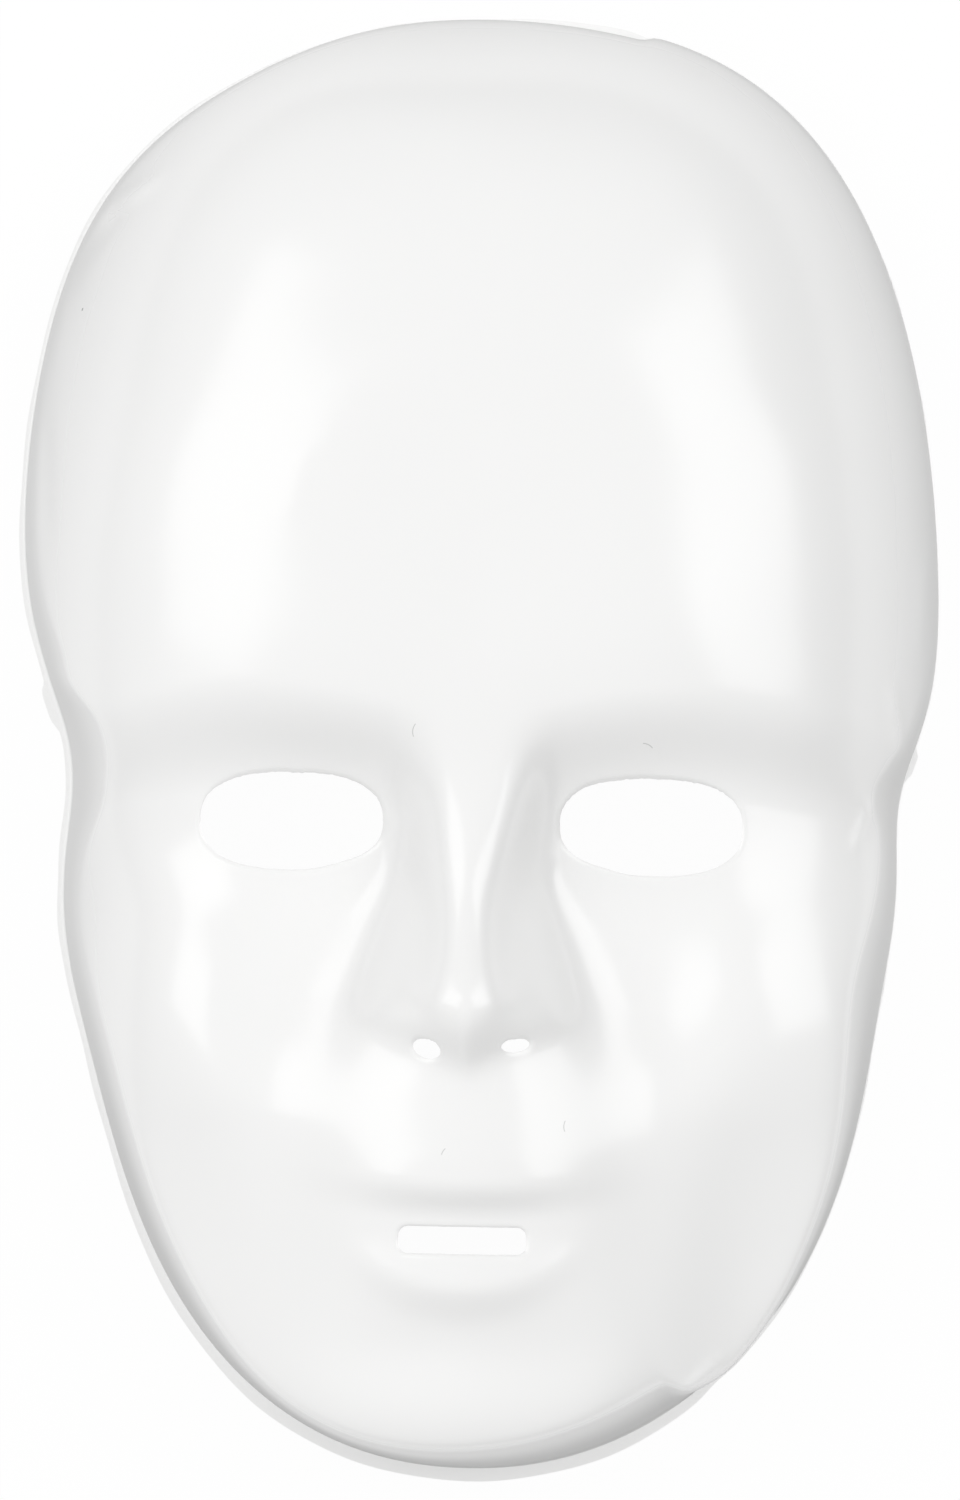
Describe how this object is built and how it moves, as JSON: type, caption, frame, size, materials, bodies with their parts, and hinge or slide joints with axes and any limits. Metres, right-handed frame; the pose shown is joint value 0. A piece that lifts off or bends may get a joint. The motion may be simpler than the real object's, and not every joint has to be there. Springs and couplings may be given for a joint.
{
  "type": "plastic face mask",
  "caption": "Blank full-face mask drawn from one thin sheet of glossy white plastic, open behind, with eye, nostril and mouth openings and a narrow flat rim that it lies on.",
  "frame": {"origin": "middle of the outline's box, on the plane of the rim's underside that the mask lies on", "axes": "+X to the right of someone who looks at the face, +Y from the chin to the crown, +Z out of the face"},
  "size_m": [0.1606, 0.255, 0.0763],
  "materials": {
    "white_plastic": "smooth glossy white sheet plastic with faint forming ripples, a few specks and cut edges left raw"
  },
  "bodies": {
    "root": {"mask_shell": "white_plastic"}
  },
  "joints": []
}
